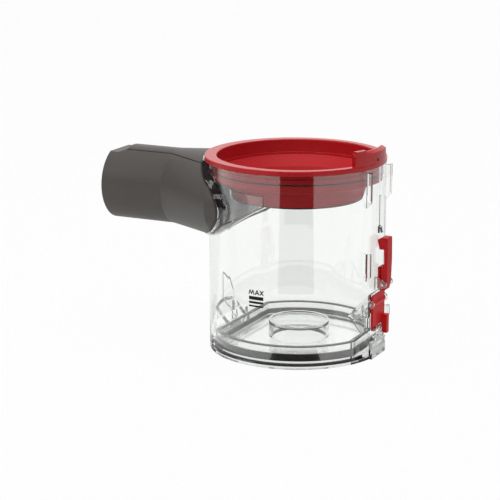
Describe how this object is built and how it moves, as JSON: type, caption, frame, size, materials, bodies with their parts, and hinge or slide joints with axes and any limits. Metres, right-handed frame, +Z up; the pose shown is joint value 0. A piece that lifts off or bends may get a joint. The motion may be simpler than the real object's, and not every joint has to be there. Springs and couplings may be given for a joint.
{
  "type": "cyclone dust bin",
  "caption": "Clear round dust bin of a cordless stick vacuum with a grey flared inlet tube, red cyclone collar, hinged base flap, flap catch and release lever.",
  "frame": {"origin": "centre of the bin at the plane of the closed base flap's rim", "axes": "+Z up the bin axis, -X out of the inlet tube, +X to the rails, lever and flap catch"},
  "size_m": [0.2018, 0.1202, 0.14],
  "materials": {
    "clear_plastic": "clear moulded, polished",
    "flap_clear": "clear moulded, polished",
    "grey_plastic": "satin moulded",
    "red_plastic": "semi-gloss moulded",
    "lever_red": "semi-gloss moulded",
    "catch_red": "semi-gloss moulded",
    "black_rubber": "matte",
    "steel": "drawn"
  },
  "bodies": {
    "bin": {"bin_body": "clear_plastic", "inlet_tube": "grey_plastic", "inlet_gasket": "black_rubber", "collar": "red_plastic", "collar_seal": "black_rubber", "shroud_wiper": "black_rubber", "lever_pin": "steel", "catch_pin": "steel", "catch_spring": "steel", "hinge_pin": "steel"},
    "flap": {"base_flap": "flap_clear", "flap_seal": "black_rubber", "flap_lip": "black_rubber"},
    "catch": {"flap_catch": "catch_red"},
    "lever": {"release_lever": "lever_red"}
  },
  "joints": [
    {"name": "flap_hinge", "type": "hinge", "parent": "bin", "child": "flap", "pos_m": [-0.053, 0, 0.005], "axis": [0, 1, 0], "range_deg": [0, 95]},
    {"name": "catch_pivot", "type": "hinge", "parent": "bin", "child": "catch", "pos_m": [0.0572, 0, 0.037], "axis": [0, 1, 0], "range_deg": [0, 4], "stiffness_Nm_per_rad": 0.3, "springref_deg": -5.73},
    {"name": "lever_pivot", "type": "hinge", "parent": "bin", "child": "lever", "pos_m": [0.0634, 0, 0.0498], "axis": [0, 1, 0], "range_deg": [0, 8], "stiffness_Nm_per_rad": 0.2, "springref_deg": -5.73}
  ]
}
